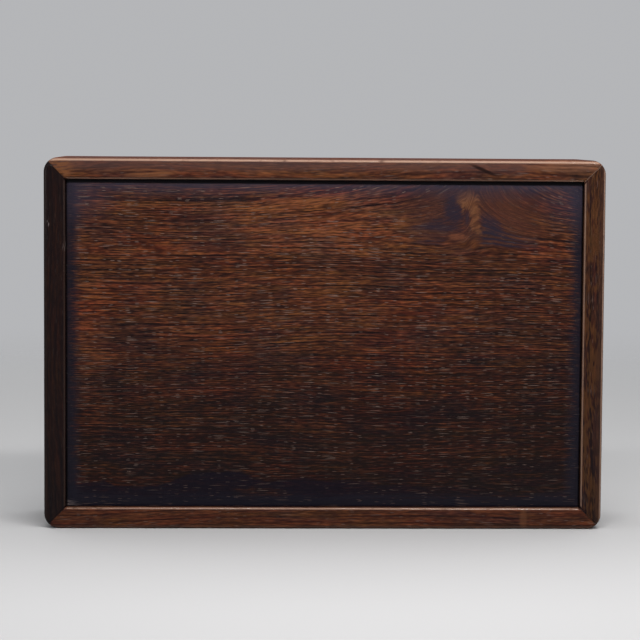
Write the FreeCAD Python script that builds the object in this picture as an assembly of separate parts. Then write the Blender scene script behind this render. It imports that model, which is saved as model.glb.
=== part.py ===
import FreeCAD, Part

import os

# A hardwood box for an ink stone and ink sticks, standing on its long back side as it is photographed.
# X runs along its length and Z across its width. Y runs from its base, at the low end, to its lid.
# The origin is under the middle of the side it stands on. Heights are measured up from the base, along Y.
# Every size is in millimetres.

# Overall sizes
BOX_LENGTH = 270.0
BOX_WIDTH = 179.0
BODY_HEIGHT = 40.0
LID_HEIGHT = 20.0
WALL = 10.4
CORNER_RADIUS = 7.0

# Worn and rounded edges
OUTER_ARRIS = 1.9
INNER_ARRIS = 1.2
SEAM_ARRIS = 0.5

# Base panel, held by a tongue in a groove round the body boards, with a shallow bevel round its face
BASE_RECESS = 2.6
BASE_BEVEL = 4.2
BASE_BEVEL_DROP = 0.6
BASE_SHOULDER = 1.8
BASE_TONGUE = 4.0
PANEL_GROOVE = 4.0
PANEL_PLAY = 0.3
PANEL_REVEAL = 0.15

# Lip on the body that the lid slides over
LIP_THICKNESS = 4.4
LIP_HEIGHT = 4.0
LIP_CLEARANCE = 0.2
LIP_EASING = 0.6

# Lid panel, a raised field inside a bevel
LID_RECESS = 0.4
LID_BEVEL = 13.0
LID_BEVEL_DROP = 1.6
LID_SHOULDER = 1.0
LID_TONGUE = 3.5

# Dovetailed battens across the inside of the lid panel
BATTEN_SPACING = 120.0
BATTEN_WIDTH = 14.0
BATTEN_DEPTH = 3.5
DOVETAIL_DEPTH = 2.0
DOVETAIL_FLARE = 0.8
BATTEN_TENON = 3.5

# Loose tongues glued inside the mitres
SPLINE_WIDTH = 8.0
SPLINE_THICKNESS = 2.4
SPLINE_INSET = 6.6
SPLINE_COVER = 1.2
SPLINE_TOP_COVER = 6.0
GLUE_ROOM = 0.3

# Partitions that make the stone well, the ink stick channel and the water pot well
PARTITION_THICKNESS = 6.0
PARTITION_HEIGHT = 27.0
PARTITION_EASING = 0.8
HOUSING_DEPTH = 3.0
CHANNEL_WIDTH = 40.0
STONE_WELL_LENGTH = 168.0
STICK_BAY_LENGTH = 132.0
NOTCH_RADIUS = 13.0
NOTCH_DEPTH = 12.0

# Heights and spans that follow from the sizes above
BOX_HEIGHT = BODY_HEIGHT + LID_HEIGHT
INNER_LENGTH = BOX_LENGTH - 2 * WALL
INNER_WIDTH = BOX_WIDTH - 2 * WALL
BASE_GROOVE_LOW = BASE_RECESS + BASE_BEVEL_DROP + BASE_SHOULDER
BASE_TOP = BASE_GROOVE_LOW + BASE_TONGUE
LIP_TOP = BODY_HEIGHT + LIP_HEIGHT
LID_GROOVE_HIGH = BOX_HEIGHT - LID_RECESS - LID_BEVEL_DROP - LID_SHOULDER
LID_UNDERSIDE = LID_GROOVE_HIGH - LID_TONGUE
BATTEN_BOTTOM = LID_UNDERSIDE - BATTEN_DEPTH
LID_SOCKET_TOP = LIP_TOP + LIP_CLEARANCE
FLOOR_Z = WALL
CEILING_Z = BOX_WIDTH - WALL
CHANNEL_WALL_Z = CEILING_Z - CHANNEL_WIDTH
LEFT_X = -INNER_LENGTH / 2
STONE_WALL_X = LEFT_X + STONE_WELL_LENGTH
STICK_WALL_X = LEFT_X + STICK_BAY_LENGTH
MITRE_REACH = WALL + LIP_THICKNESS


def up(height):
    """Returns the Y of a point at a height above the base."""
    return height - BOX_HEIGHT / 2


def block(low_x, high_x, low_height, high_height, low_z, high_z):
    """Makes a square-edged block between two planes each way."""
    corner = FreeCAD.Vector(low_x, up(low_height), low_z)
    return Part.makeBox(high_x - low_x, high_height - low_height, high_z - low_z, corner)


def plate(length, width, low_height, high_height):
    """Makes a square-cornered plate that is centred on the box."""
    middle = BOX_WIDTH / 2
    return block(-length / 2, length / 2, low_height, high_height, middle - width / 2, middle + width / 2)


def prism(points, low_height, high_height):
    """Raises an outline of (x, z) points into a prism."""
    corners = [FreeCAD.Vector(x, up(low_height), z) for x, z in points]
    face = Part.Face(Part.makePolygon(corners + corners[:1]))
    return face.extrude(FreeCAD.Vector(0, high_height - low_height, 0))


def edges_at(shape, height):
    """Lists the edges that lie wholly at one height."""
    y = up(height)
    return [e for e in shape.Edges if abs(e.BoundBox.YMin - y) < 1e-6 and abs(e.BoundBox.YMax - y) < 1e-6]


def edges_along_y(shape):
    """Lists the straight edges that run between base and lid."""
    return [e for e in shape.Edges if e.BoundBox.XLength < 1e-6 and e.BoundBox.ZLength < 1e-6]


def outer_block(low_height, high_height, low_arris, high_arris):
    """Makes the solid outside form of the body or the lid, with its corners and arrises rounded."""
    shape = plate(BOX_LENGTH, BOX_WIDTH, low_height, high_height)
    shape = shape.makeFillet(CORNER_RADIUS, edges_along_y(shape))
    shape = shape.makeFillet(low_arris, edges_at(shape, low_height))
    return shape.makeFillet(high_arris, edges_at(shape, high_height))


def flared_bore(low_height, high_height, mouth_height):
    """Makes the square hole through a frame, with its rim rounded where it opens at the mouth."""
    bore = plate(INNER_LENGTH, INNER_WIDTH, low_height, high_height)
    inwards = 1 if mouth_height == low_height else -1
    depth_end = mouth_height + inwards * INNER_ARRIS
    low, high = sorted((mouth_height, depth_end))
    mouth = plate(INNER_LENGTH + 2 * INNER_ARRIS, INNER_WIDTH + 2 * INNER_ARRIS, low, high)
    for side_x, side_z in ((1, 0), (-1, 0), (0, 1), (0, -1)):
        mouth = mouth.cut(rim_roll(side_x, side_z, depth_end))
    return bore.fuse(mouth).removeSplitter()


def rim_roll(side_x, side_z, height):
    """Makes the round rod that a frame's inner arris is shaped to, along one side of its hole."""
    along = FreeCAD.Vector(abs(side_z), 0, abs(side_x))
    reach = BOX_LENGTH + BOX_WIDTH
    centre = FreeCAD.Vector(
        side_x * (INNER_LENGTH / 2 + INNER_ARRIS),
        up(height),
        BOX_WIDTH / 2 + side_z * (INNER_WIDTH / 2 + INNER_ARRIS),
    )
    return Part.makeCylinder(INNER_ARRIS, 2 * reach, centre - along * reach, along)


def mitred_boards(frame):
    """Cuts a rectangular frame into its four boards, along 45 degree lines through its corners."""
    left, right = -BOX_LENGTH / 2, BOX_LENGTH / 2
    bottom, top = 0.0, BOX_WIDTH
    reach = MITRE_REACH
    outlines = {
        "back": [(left, bottom), (right, bottom), (right - reach, bottom + reach), (left + reach, bottom + reach)],
        "front": [(left, top), (right, top), (right - reach, top - reach), (left + reach, top - reach)],
        "left": [(left, bottom), (left, top), (left + reach, top - reach), (left + reach, bottom + reach)],
        "right": [(right, bottom), (right, top), (right - reach, top - reach), (right - reach, bottom + reach)],
    }
    return {side: frame.common(prism(points, 0, BOX_HEIGHT)) for side, points in outlines.items()}


def corner_splines(low_height, high_height, end_room):
    """Makes the loose tongues across the four mitres, or their slots where there is room at the ends."""
    splines = {}
    for side_z, front_or_back in ((1, "front"), (-1, "back")):
        for side_x, left_or_right in ((-1, "left"), (1, "right")):
            outwards = FreeCAD.Vector(side_x, 0, side_z).normalize()
            across = FreeCAD.Vector(side_z, 0, -side_x).normalize()
            inner_corner = FreeCAD.Vector(side_x * INNER_LENGTH / 2, 0, BOX_WIDTH / 2 + side_z * INNER_WIDTH / 2)
            centre = inner_corner + outwards * SPLINE_INSET
            half_width = across * (SPLINE_WIDTH / 2 + end_room)
            half_thickness = outwards * (SPLINE_THICKNESS / 2)
            corners = [
                centre - half_width - half_thickness,
                centre + half_width - half_thickness,
                centre + half_width + half_thickness,
                centre - half_width + half_thickness,
            ]
            outline = [(corner.x, corner.z) for corner in corners]
            spline = prism(outline, low_height - end_room, high_height + end_room)
            splines[f"{front_or_back}_{left_or_right}"] = spline
    return splines


def finger_notch(centre_x):
    """Makes the cutter for the thumb hollow in the top edge of the long partition."""
    top = BASE_TOP + PARTITION_HEIGHT
    centre = FreeCAD.Vector(centre_x, up(top - NOTCH_DEPTH + NOTCH_RADIUS), CHANNEL_WALL_Z - 2 * PARTITION_THICKNESS)
    return Part.makeCylinder(NOTCH_RADIUS, 4 * PARTITION_THICKNESS, centre, FreeCAD.Vector(0, 0, 1))


def partition(low_x, high_x, low_z, high_z):
    """Makes one partition board standing on the base panel, with the long edges of its top eased."""
    top = BASE_TOP + PARTITION_HEIGHT
    board = block(low_x, high_x, BASE_TOP, top, low_z, high_z)
    long_way = max(high_x - low_x, high_z - low_z)
    edges = [e for e in edges_at(board, top) if abs(e.Length - long_way) < 1e-6]
    return board.makeFillet(PARTITION_EASING, edges)


def partitions(end_room):
    """Makes the three partitions, or the housings that take them where there is room at the ends."""
    reach = HOUSING_DEPTH + end_room
    stone_side_z = CHANNEL_WALL_Z - PARTITION_THICKNESS
    return {
        "long_partition": partition(LEFT_X - reach, -LEFT_X + reach, stone_side_z, CHANNEL_WALL_Z),
        "water_pot_partition": partition(
            STONE_WALL_X, STONE_WALL_X + PARTITION_THICKNESS, FLOOR_Z - reach, stone_side_z
        ),
        "ink_stick_partition": partition(
            STICK_WALL_X, STICK_WALL_X + PARTITION_THICKNESS, CHANNEL_WALL_Z, CEILING_Z + reach
        ),
    }


def ring(length, width, height):
    """Draws a rectangle centred on the box at one height."""
    half_length = length / 2
    half_width = width / 2
    middle = BOX_WIDTH / 2
    corners = [
        FreeCAD.Vector(-half_length, up(height), middle - half_width),
        FreeCAD.Vector(half_length, up(height), middle - half_width),
        FreeCAD.Vector(half_length, up(height), middle + half_width),
        FreeCAD.Vector(-half_length, up(height), middle + half_width),
    ]
    return Part.makePolygon(corners + corners[:1])


def fielded_panel(groove_low, groove_high, shoulder_height, field_height, bevel):
    """Makes a floating board: a tongue all round, a shoulder in the frame's hole, and a field inside a bevel."""
    tongue_reach = 2 * (PANEL_GROOVE - PANEL_PLAY)
    tongue = plate(INNER_LENGTH + tongue_reach, INNER_WIDTH + tongue_reach, groove_low, groove_high)
    face_length = INNER_LENGTH - 2 * PANEL_REVEAL
    face_width = INNER_WIDTH - 2 * PANEL_REVEAL
    tongue_side = groove_low if field_height < groove_low else groove_high
    shoulder = plate(face_length, face_width, *sorted((tongue_side, shoulder_height)))
    edge = ring(face_length, face_width, shoulder_height)
    field = ring(face_length - 2 * bevel, face_width - 2 * bevel, field_height)
    raised = Part.makeLoft([edge, field], True, True)
    return tongue.fuse(shoulder).fuse(raised).removeSplitter()


def base_panel():
    """Makes the base board, which is seen inside the rim of the body."""
    shoulder_height = BASE_RECESS + BASE_BEVEL_DROP
    return fielded_panel(BASE_GROOVE_LOW, BASE_TOP, shoulder_height, BASE_RECESS, BASE_BEVEL)


def body_frame():
    """Makes the four body boards as one frame: rim, lip, panel groove, spline slots and housings."""
    outside = outer_block(0, BODY_HEIGHT, OUTER_ARRIS, SEAM_ARRIS)
    lip = plate(
        INNER_LENGTH + 2 * LIP_THICKNESS, INNER_WIDTH + 2 * LIP_THICKNESS, BODY_HEIGHT - SEAM_ARRIS, LIP_TOP
    )
    lip = lip.makeChamfer(LIP_EASING, edges_at(lip, LIP_TOP))
    frame = outside.fuse(lip).cut(flared_bore(0, LIP_TOP, 0))
    frame = frame.cut(
        plate(INNER_LENGTH + 2 * PANEL_GROOVE, INNER_WIDTH + 2 * PANEL_GROOVE, BASE_GROOVE_LOW, BASE_TOP)
    )
    for housing in partitions(GLUE_ROOM).values():
        frame = frame.cut(housing)
    return frame


def lid_panel():
    """Makes the lid's board, whose field stands nearly level with the rim of the lid."""
    field_height = BOX_HEIGHT - LID_RECESS
    shoulder_height = field_height - LID_BEVEL_DROP
    return fielded_panel(LID_UNDERSIDE, LID_GROOVE_HIGH, shoulder_height, field_height, LID_BEVEL)


def batten(centre_x, end_room):
    """Makes one lid batten: a flat bar with a dovetail along its top, or its socket with room at the ends."""
    low, seat, high = BATTEN_BOTTOM, LID_UNDERSIDE, LID_UNDERSIDE + DOVETAIL_DEPTH
    half = BATTEN_WIDTH / 2
    section = [
        (centre_x - half, low),
        (centre_x + half, low),
        (centre_x + half, seat),
        (centre_x + half - DOVETAIL_FLARE, seat),
        (centre_x + half, high),
        (centre_x - half, high),
        (centre_x - half + DOVETAIL_FLARE, seat),
        (centre_x - half, seat),
    ]
    start_z = FLOOR_Z - BATTEN_TENON - end_room
    span = INNER_WIDTH + 2 * (BATTEN_TENON + end_room)
    corners = [FreeCAD.Vector(x, up(height), start_z) for x, height in section]
    face = Part.Face(Part.makePolygon(corners + corners[:1]))
    return face.extrude(FreeCAD.Vector(0, 0, span))


def lid_frame():
    """Makes the four lid boards as one frame: rim socket over the lip, panel groove and batten mortises."""
    outside = outer_block(BODY_HEIGHT, BOX_HEIGHT, SEAM_ARRIS, OUTER_ARRIS)
    frame = outside.cut(flared_bore(BODY_HEIGHT, BOX_HEIGHT, BOX_HEIGHT))
    socket_reach = 2 * (LIP_THICKNESS + LIP_CLEARANCE)
    frame = frame.cut(plate(INNER_LENGTH + socket_reach, INNER_WIDTH + socket_reach, BODY_HEIGHT, LID_SOCKET_TOP))
    return frame.cut(
        plate(INNER_LENGTH + 2 * PANEL_GROOVE, INNER_WIDTH + 2 * PANEL_GROOVE, LID_UNDERSIDE, LID_GROOVE_HIGH)
    )


def body_nodes():
    """Makes every piece of the body."""
    low = BASE_TOP + SPLINE_COVER
    high = BODY_HEIGHT - SPLINE_TOP_COVER
    boards = mitred_boards(body_frame())
    nodes = {}
    for side, board in boards.items():
        for slot in corner_splines(low, high, GLUE_ROOM).values():
            board = board.cut(slot)
        nodes[f"body_{side}_board"] = board
    nodes["base_panel"] = base_panel()
    for corner, spline in corner_splines(low, high, 0).items():
        nodes[f"body_spline_{corner}"] = spline
    walls = partitions(0)
    stone_middle_x = LEFT_X + STONE_WELL_LENGTH / 2
    nodes["long_partition"] = walls["long_partition"].cut(finger_notch(stone_middle_x))
    nodes["water_pot_partition"] = walls["water_pot_partition"]
    nodes["ink_stick_partition"] = walls["ink_stick_partition"]
    return nodes


def lid_nodes():
    """Makes every piece of the lid."""
    low = LID_SOCKET_TOP + SPLINE_COVER
    high = LID_UNDERSIDE - SPLINE_COVER
    boards = mitred_boards(lid_frame())
    panel = lid_panel()
    nodes = {}
    batten_places = {"left": -BATTEN_SPACING / 2, "right": BATTEN_SPACING / 2}
    for side, board in boards.items():
        for slot in corner_splines(low, high, GLUE_ROOM).values():
            board = board.cut(slot)
        for centre_x in batten_places.values():
            board = board.cut(batten(centre_x, GLUE_ROOM))
        nodes[f"lid_{side}_board"] = board
    for side, centre_x in batten_places.items():
        panel = panel.cut(batten(centre_x, GLUE_ROOM))
        nodes[f"lid_batten_{side}"] = batten(centre_x, 0)
    nodes["lid_panel"] = panel
    for corner, spline in corner_splines(low, high, 0).items():
        nodes[f"lid_spline_{corner}"] = spline
    return nodes


def main():
    """Builds every node and writes one STEP file for each."""
    os.makedirs("parts", exist_ok=True)
    nodes = {**body_nodes(), **lid_nodes()}
    for name, shape in nodes.items():
        solids = shape.Solids
        whole = solids[0] if len(solids) == 1 else Part.makeCompound(solids)
        whole.exportStep(os.path.join("parts", f"{name}.step"))
        print(f"{name}: {len(solids)} solid, {whole.Volume / 1000:.2f} cm3, valid {whole.isValid()}")


main()
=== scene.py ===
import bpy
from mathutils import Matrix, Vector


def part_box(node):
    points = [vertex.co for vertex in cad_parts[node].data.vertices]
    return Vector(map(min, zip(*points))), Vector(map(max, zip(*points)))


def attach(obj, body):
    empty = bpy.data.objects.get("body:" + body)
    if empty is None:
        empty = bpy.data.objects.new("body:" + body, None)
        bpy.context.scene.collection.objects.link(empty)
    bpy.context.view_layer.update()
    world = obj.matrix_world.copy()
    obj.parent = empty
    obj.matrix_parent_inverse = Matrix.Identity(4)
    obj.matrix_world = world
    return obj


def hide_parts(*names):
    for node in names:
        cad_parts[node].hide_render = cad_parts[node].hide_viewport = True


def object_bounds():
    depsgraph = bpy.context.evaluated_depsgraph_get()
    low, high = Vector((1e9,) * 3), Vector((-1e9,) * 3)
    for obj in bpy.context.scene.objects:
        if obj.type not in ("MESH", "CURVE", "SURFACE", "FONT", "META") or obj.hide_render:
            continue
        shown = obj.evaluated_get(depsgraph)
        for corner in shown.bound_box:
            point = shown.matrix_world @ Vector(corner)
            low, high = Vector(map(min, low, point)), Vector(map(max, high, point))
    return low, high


bl_info = {
    "name": "Ink stick and stone box",
    "version": (1, 0, 0),
    "blender": (4, 5, 0),
    "location": "3D View > Sidebar > Ink box",
    "description": "Finishes the boards, panels and partitions of a hardwood box for an ink stone",
    "category": "Object",
}

import math
import random

import bmesh
import bpy
from bpy.props import FloatProperty, FloatVectorProperty, IntProperty, PointerProperty
from mathutils import Matrix, Vector, noise

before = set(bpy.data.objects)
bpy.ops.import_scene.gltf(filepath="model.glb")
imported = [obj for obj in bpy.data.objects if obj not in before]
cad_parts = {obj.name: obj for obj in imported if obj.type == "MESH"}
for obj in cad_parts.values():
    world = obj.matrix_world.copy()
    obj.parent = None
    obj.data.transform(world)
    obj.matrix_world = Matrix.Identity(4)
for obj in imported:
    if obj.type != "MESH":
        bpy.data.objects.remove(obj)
CAD_LOW, CAD_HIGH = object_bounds()

MM = 0.001

# Places on the box, in millimetres: x along it, z up it, y through it from base to lid
HALF_LENGTH = CAD_HIGH.x / MM
BOX_WIDTH = CAD_HIGH.z / MM
BASE_Y = CAD_LOW.y / MM
LEFT_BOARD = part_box("body_left_board")
WALL = (LEFT_BOARD[1].x - LEFT_BOARD[0].x) / MM
BASE_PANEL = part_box("base_panel")
PANEL_FACE_Y = BASE_PANEL[0].y / MM

SIDES = ("front", "back", "left", "right")
GRAIN_ALONG = {"front": "x", "back": "x", "left": "z", "right": "z"}


class BoardSizes(bpy.types.PropertyGroup):
    """How finely the boards are divided, and how far they are worn."""

    facet: FloatProperty(
        name="Facet", description="Length of a board's facets", default=1.3 * MM, unit="LENGTH"
    )
    panel_facet: FloatProperty(
        name="Panel facet", description="Length of a panel's facets", default=2.2 * MM, unit="LENGTH"
    )
    arris_wear: FloatProperty(
        name="Arris wear", description="How far the edges are rubbed away", default=0.16 * MM, unit="LENGTH"
    )
    unevenness: FloatProperty(
        name="Unevenness", description="How far hand planed faces dip", default=0.06 * MM, unit="LENGTH"
    )
    dent_depth: FloatProperty(
        name="Dent depth", description="Depth of a knock in an edge", default=0.34 * MM, unit="LENGTH"
    )
    dent_width: FloatProperty(
        name="Dent width", description="Radius of a knock in an edge", default=1.7 * MM, unit="LENGTH"
    )
    dents: IntProperty(name="Dents", description="Knocks along each board", default=7, min=0)


class WoodFinish(bpy.types.PropertyGroup):
    """Colours and grain of the oiled hardwood."""

    dark: FloatVectorProperty(
        name="Dark grain", description="Colour of the darkest growth",
        default=(0.0095, 0.0040, 0.0035), subtype="COLOR",
    )
    middle: FloatVectorProperty(
        name="Middle grain", description="Colour of most of the wood",
        default=(0.0435, 0.0135, 0.0072), subtype="COLOR",
    )
    warm: FloatVectorProperty(
        name="Warm grain", description="Colour of the warm growth",
        default=(0.110, 0.0362, 0.0150), subtype="COLOR",
    )
    honey: FloatVectorProperty(
        name="Honey tint", description="Tint of the yellower streaks",
        default=(1.07, 1.15, 0.92), subtype="COLOR",
    )
    russet: FloatVectorProperty(
        name="Russet tint", description="Tint of the redder streaks",
        default=(1.06, 0.90, 0.95), subtype="COLOR",
    )
    plum: FloatVectorProperty(
        name="Plum tint", description="Tint of the cooler patches",
        default=(0.80, 0.97, 1.40), subtype="COLOR",
    )
    # Pale colour of the rubbed arrises, which also stands for the painted highlights along them
    pale: FloatVectorProperty(
        name="Worn wood", description="Colour of rubbed edges",
        default=(0.36, 0.225, 0.165), subtype="COLOR",
    )
    ink: FloatVectorProperty(
        name="Ink stain", description="Colour of ink soaked wood",
        default=(0.0042, 0.0029, 0.0078), subtype="COLOR",
    )
    # The rim's dark bluish band: partly old polish and grime, partly painted shade with a painted bluish
    # reflection
    grime_and_painted_shade: FloatVectorProperty(
        name="Grime", description="Colour of old polish in corners",
        default=(0.0095, 0.0088, 0.0160), subtype="COLOR",
    )
    # Painted reflection: the bluish haze of light reflected on the base panel's upper corners and under the
    # upper board
    painted_reflection: FloatVectorProperty(
        name="Haze", description="Colour of bloom on old polish",
        default=(0.033, 0.0285, 0.047), subtype="COLOR",
    )
    # Pale colour of the dusty pores: partly polish and dust, partly a painted glint of light in them
    pore_dust_and_glint: FloatVectorProperty(
        name="Pore dust", description="Colour of polish and dust in pores",
        default=(0.25, 0.165, 0.135), subtype="COLOR",
    )
    ring_spacing: FloatProperty(
        name="Ring spacing", description="Usual distance between growth lines",
        default=2.0 * MM, unit="LENGTH",
    )
    pore_length: FloatProperty(
        name="Pore length", description="Length of the cells that hold one pore",
        default=4.0 * MM, unit="LENGTH",
    )
    pore_width: FloatProperty(
        name="Pore width", description="Width of the cells that hold one pore",
        default=0.42 * MM, unit="LENGTH",
    )
    roughness: FloatProperty(
        name="Roughness", description="Roughness of the oiled surface",
        default=0.32, min=0, max=1, subtype="FACTOR",
    )
    shine: FloatProperty(
        name="Shine", description="How strongly the surface reflects",
        default=0.10, min=0, max=1, subtype="FACTOR",
    )


class StageSizes(bpy.types.PropertyGroup):
    """The floor, lamps and camera."""

    floor_radius: FloatProperty(
        name="Floor radius", description="Where the floor has faded out", default=1.9, unit="LENGTH"
    )
    floor_colour: FloatVectorProperty(
        name="Floor colour", description="Colour of the floor",
        default=(0.50, 0.505, 0.52), subtype="COLOR",
    )
    backdrop_colour: FloatVectorProperty(
        name="Backdrop", description="Colour beyond the floor",
        default=(0.46, 0.465, 0.48), subtype="COLOR",
    )
    world_level: FloatProperty(
        name="Room light", description="Level of the light all round", default=0.08, min=0
    )
    ceiling_power: FloatProperty(
        name="Ceiling light", description="Power of the wide light overhead",
        default=40.0, min=0, subtype="POWER",
    )
    key_power: FloatProperty(
        name="Key light", description="Power of the light above the front",
        default=3.0, min=0, subtype="POWER",
    )
    fill_power: FloatProperty(
        name="Fill lights", description="Power of each light at the sides",
        default=0.8, min=0, subtype="POWER",
    )
    camera_lens: FloatProperty(
        name="Lens", description="Focal length", default=135.0, subtype="DISTANCE_CAMERA"
    )


class Wire:
    """A number that runs between a material's nodes, so that a sum can be written as a sum."""

    def __init__(self, finish, socket):
        self.finish = finish
        self.socket = socket

    def __add__(self, other):
        return self.finish.sum("ADD", self, other)

    __radd__ = __add__

    def __sub__(self, other):
        return self.finish.sum("SUBTRACT", self, other)

    def __rsub__(self, other):
        return self.finish.sum("SUBTRACT", other, self)

    def __mul__(self, other):
        return self.finish.sum("MULTIPLY", self, other)

    __rmul__ = __mul__

    def __truediv__(self, other):
        return self.finish.sum("DIVIDE", self, other)

    def __abs__(self):
        return self.finish.sum("ABSOLUTE", self)


PATCH_SOFTNESS = 0.35


class Finish:
    """One material, with short calls that add its nodes."""

    def __init__(self, name):
        self.material = bpy.data.materials.new(name)
        self.material.use_nodes = True
        self.tree = self.material.node_tree
        self.tree.nodes.clear()

    def node(self, kind, **settings):
        """Adds a node and sets what is named."""
        made = self.tree.nodes.new(kind)
        for key, value in settings.items():
            setattr(made, key, value)
        return made

    def feed(self, value, socket):
        """Links a wire or writes a constant into a socket."""
        if isinstance(value, Wire):
            self.tree.links.new(value.socket, socket)
        elif isinstance(value, (int, float)):
            socket.default_value = value
        else:
            filled = list(value) + [1.0] * (len(socket.default_value) - len(value))
            socket.default_value = filled

    def sum(self, operation, *values):
        """Adds one step of arithmetic."""
        made = self.node("ShaderNodeMath", operation=operation)
        for value, socket in zip(values, made.inputs):
            self.feed(value, socket)
        return Wire(self, made.outputs[0])

    def place(self):
        """Gives x, y and z on the object, in millimetres."""
        where = self.node("ShaderNodeTexCoord").outputs["Object"]
        apart = self.node("ShaderNodeSeparateXYZ")
        self.tree.links.new(where, apart.inputs[0])
        return [Wire(self, socket) / MM for socket in apart.outputs]

    def vector(self, x, y, z):
        """Joins three numbers into a vector."""
        made = self.node("ShaderNodeCombineXYZ")
        for value, socket in zip((x, y, z), made.inputs):
            self.feed(value, socket)
        return Wire(self, made.outputs[0])

    def smooth_noise(self, dimensions, socket_name, where, detail, roughness):
        """Adds noise in as many dimensions as are named."""
        made = self.node("ShaderNodeTexNoise", noise_dimensions=dimensions)
        self.feed(where, made.inputs[socket_name])
        self.feed(1.0, made.inputs["Scale"])
        self.feed(detail, made.inputs["Detail"])
        self.feed(roughness, made.inputs["Roughness"])
        return Wire(self, made.outputs[0])

    def cloud(self, vector, detail=2.0, roughness=0.5):
        """Adds smooth noise, from 0 to 1 and centred on 0.5."""
        return self.smooth_noise("3D", "Vector", vector, detail, roughness)

    def stripes(self, position, detail=2.0, roughness=0.5):
        """Adds noise that changes along one number alone."""
        return self.smooth_noise("1D", "W", position, detail, roughness)

    def cells(self, vector):
        """Adds scattered cells: the distance to a cell's middle, and two random numbers for that cell."""
        made = self.node("ShaderNodeTexVoronoi", voronoi_dimensions="3D", feature="F1")
        self.feed(vector, made.inputs["Vector"])
        self.feed(1.0, made.inputs["Scale"])
        apart = self.node("ShaderNodeSeparateColor")
        self.tree.links.new(made.outputs["Color"], apart.inputs[0])
        first, second = Wire(self, apart.outputs[0]), Wire(self, apart.outputs[1])
        return Wire(self, made.outputs["Distance"]), first, second

    def rise(self, value, low, high):
        """Goes smoothly from 0 at low to 1 at high, or down again where low is the larger."""
        made = self.node("ShaderNodeMapRange", interpolation_type="SMOOTHSTEP")
        self.feed(value, made.inputs["Value"])
        if low <= high:
            ends = (low, high, 0.0, 1.0)
        else:
            ends = (high, low, 1.0, 0.0)
        for number, socket in zip(ends, list(made.inputs)[1:5]):
            self.feed(number, socket)
        return Wire(self, made.outputs[0])

    def limit(self, value):
        """Keeps a number from 0 to 1."""
        made = self.node("ShaderNodeClamp")
        self.feed(value, made.inputs[0])
        return Wire(self, made.outputs[0])

    def greater(self, first, second):
        """Gives the larger of two numbers."""
        return self.sum("MAXIMUM", first, second)

    def lesser(self, first, second):
        """Gives the smaller of two numbers."""
        return self.sum("MINIMUM", first, second)

    def blend(self, amount, first, second, mode="MIX"):
        """Mixes two colours."""
        made = self.node("ShaderNodeMix", data_type="RGBA", blend_type=mode, clamp_factor=True)
        colours = [socket for socket in made.inputs if socket.type == "RGBA"]
        self.feed(amount, made.inputs[0])
        self.feed(first, colours[0])
        self.feed(second, colours[1])
        out = next(socket for socket in made.outputs if socket.type == "RGBA")
        return Wire(self, out)

    def tint(self, amount, colour, shade):
        """Multiplies a colour by a tint."""
        return self.blend(amount, colour, shade, "MULTIPLY")

    def ramp(self, value, stops):
        """Runs through colours as a number grows."""
        made = self.node("ShaderNodeValToRGB")
        self.feed(value, made.inputs[0])
        elements = made.color_ramp.elements
        while len(elements) < len(stops):
            elements.new(0.5)
        for element, (position, colour) in zip(elements, stops):
            element.position = position
            element.color = (*colour, 1.0)
        return Wire(self, made.outputs[0])

    def attribute(self, name):
        """Reads a number kept on the mesh's corners."""
        made = self.node("ShaderNodeAttribute", attribute_type="GEOMETRY", attribute_name=name)
        return Wire(self, made.outputs["Fac"])

    def patch(self, x, z, centre, reach, turn=0.0):
        """Is 1 in the middle of an oval place, which may be turned, and fades to 0 at its rim."""
        cosine, sine = math.cos(math.radians(turn)), math.sin(math.radians(turn))
        right, rise = x - centre[0], z - centre[1]
        across = (right * cosine + rise * sine) / reach[0]
        up = (rise * cosine - right * sine) / reach[1]
        far = self.sum("SQRT", across * across + up * up)
        return self.rise(far, 1.0, PATCH_SOFTNESS)

    def surface(self, colour, roughness, shine, height):
        """Ends the material in a shader, with its relief in millimetres."""
        shader = self.node("ShaderNodeBsdfPrincipled")
        relief = self.node("ShaderNodeBump")
        self.feed(1.0, relief.inputs["Strength"])
        self.feed(MM, relief.inputs["Distance"])
        self.feed(height, relief.inputs["Height"])
        self.feed(colour, shader.inputs["Base Color"])
        self.feed(roughness, shader.inputs["Roughness"])
        shader.inputs["Specular IOR Level"].default_value = shine
        self.tree.links.new(relief.outputs[0], shader.inputs["Normal"])
        end = self.node("ShaderNodeOutputMaterial")
        self.tree.links.new(shader.outputs[0], end.inputs["Surface"])
        return self.material


# How far each pattern of the grain reaches along it and across it, in millimetres
BROAD_REACH = (190, 50)
RIPPLE_REACH = (26, 10)
FIBRE_REACH = (21, 0.62)
GRIT_REACH = (4.2, 0.47)
STRAND_REACH = (34, 1.9)
HUE_REACH = (24, 2.6)
HUE_SHIFT = 20.0
MOTTLE_REACH = (30, 15)
STRENGTH_REACH = (85, 7.0)

# How far the grain strays, and how far apart the pieces were cut from the tree, in millimetres
BROAD_STRAY = 13.0
FINE_RIPPLE = 0.7
CUT_ALONG = 37.0
CUT_ACROSS = 53.0

# Growth lines: parts of a line from 0 to 1, and reaches and drifts counted in lines
LATE_GROWTH = (0.58, 0.84)
LATE_END = (1.0, 0.90)
CLOSE_GROWTH = (0.55, 0.82)
CLOSE_END = (1.0, 0.88)
STRONG = (0.34, 0.60)
WEAK = (0.62, 0.40)
DRIFT_REACH = 3.5
LINE_DRIFT = 2.2
CLOSE_LINES = 1.7
CLOSE_DRIFT = 3.1
CLOSE_STRENGTH = 0.6
BAND_REACH = 5
BAND_SHIFT = 11.0

# Pores: the rim of a pore in its cell, the chance that a cell has one and the chance that it is dusty, its
# pale colour partly dust and partly a painted glint
PORE_RIM = (0.34, 0.20)
SHORT_PORES = {"longer": 1.0, "shift": 0.0, "rare": 0.42}
LONG_PORES = {"longer": 2.7, "shift": 7.7, "rare": 0.35}
SURE_PORE = 0.95
DUSTY_AND_GLINTING = (0.38, 0.62)
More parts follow.
